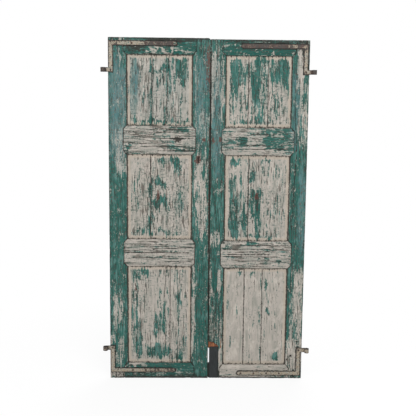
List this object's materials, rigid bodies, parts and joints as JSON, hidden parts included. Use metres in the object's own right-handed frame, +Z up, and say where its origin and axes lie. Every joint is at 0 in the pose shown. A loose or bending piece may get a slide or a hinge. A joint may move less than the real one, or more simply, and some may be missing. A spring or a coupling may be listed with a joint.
{
  "type": "double door",
  "caption": "Weathered pair of framed and panelled wooden door leaves, lapped at the seam and hung on eyed iron corner straps.",
  "frame": {"origin": "middle of the pair's base: halfway across the width and the depth, at the foot of the leaves", "axes": "+X across the pair to the right as seen from the front, -Y out of the front face, +Z up"},
  "size_m": [1.276, 0.063, 2.08],
  "materials": {
    "teal_painted_wood": "worn teal paint over cream, peeling",
    "cream_painted_wood": "worn cream paint with flakes of teal",
    "bare_wood": "weathered, unpainted",
    "dark_slip_wood": "dull slate grey",
    "painted_iron": "old paint over rust",
    "rusty_iron": "rusty"
  },
  "bodies": {
    "right_leaf": {"right_hinge_stile": "teal_painted_wood", "right_meeting_stile": "teal_painted_wood", "right_bottom_rail": "cream_painted_wood", "right_lower_middle_rail": "cream_painted_wood", "right_upper_middle_rail": "cream_painted_wood", "right_top_rail": "teal_painted_wood", "right_bottom_board_1": "cream_painted_wood", "right_bottom_board_2": "cream_painted_wood", "right_bottom_board_3": "cream_painted_wood", "right_middle_board_1": "cream_painted_wood", "right_middle_board_2": "cream_painted_wood", "right_top_board_1": "cream_painted_wood", "right_top_board_2": "cream_painted_wood", "right_top_board_3": "cream_painted_wood", "right_upper_strap": "painted_iron", "right_lower_strap": "painted_iron", "right_strap_nails": "rusty_iron", "right_tenon_wedges": "bare_wood", "right_tenon_pegs": "bare_wood", "right_panel_staple": "rusty_iron", "right_lock_nails": "rusty_iron", "right_foot_slip": "dark_slip_wood"},
    "left_leaf": {"left_hinge_stile": "teal_painted_wood", "left_meeting_stile": "teal_painted_wood", "left_bottom_rail": "teal_painted_wood", "left_lower_middle_rail": "cream_painted_wood", "left_upper_middle_rail": "cream_painted_wood", "left_top_rail": "teal_painted_wood", "left_bottom_board_1": "cream_painted_wood", "left_bottom_board_2": "cream_painted_wood", "left_middle_board_1": "cream_painted_wood", "left_middle_board_2": "cream_painted_wood", "left_top_board_1": "cream_painted_wood", "left_top_board_2": "cream_painted_wood", "left_top_board_3": "cream_painted_wood", "left_upper_strap": "painted_iron", "left_lower_strap": "painted_iron", "left_strap_nails": "rusty_iron", "left_tenon_wedges": "bare_wood", "left_tenon_pegs": "bare_wood", "left_panel_staple": "rusty_iron", "left_lock_nail": "rusty_iron"}
  },
  "joints": [
    {"name": "left_leaf_swing", "type": "hinge", "parent": "right_leaf", "child": "left_leaf", "pos_m": [-0.624, -0.0175, 1.047], "axis": [0, 0, -1], "range_deg": [0, 170]}
  ]
}
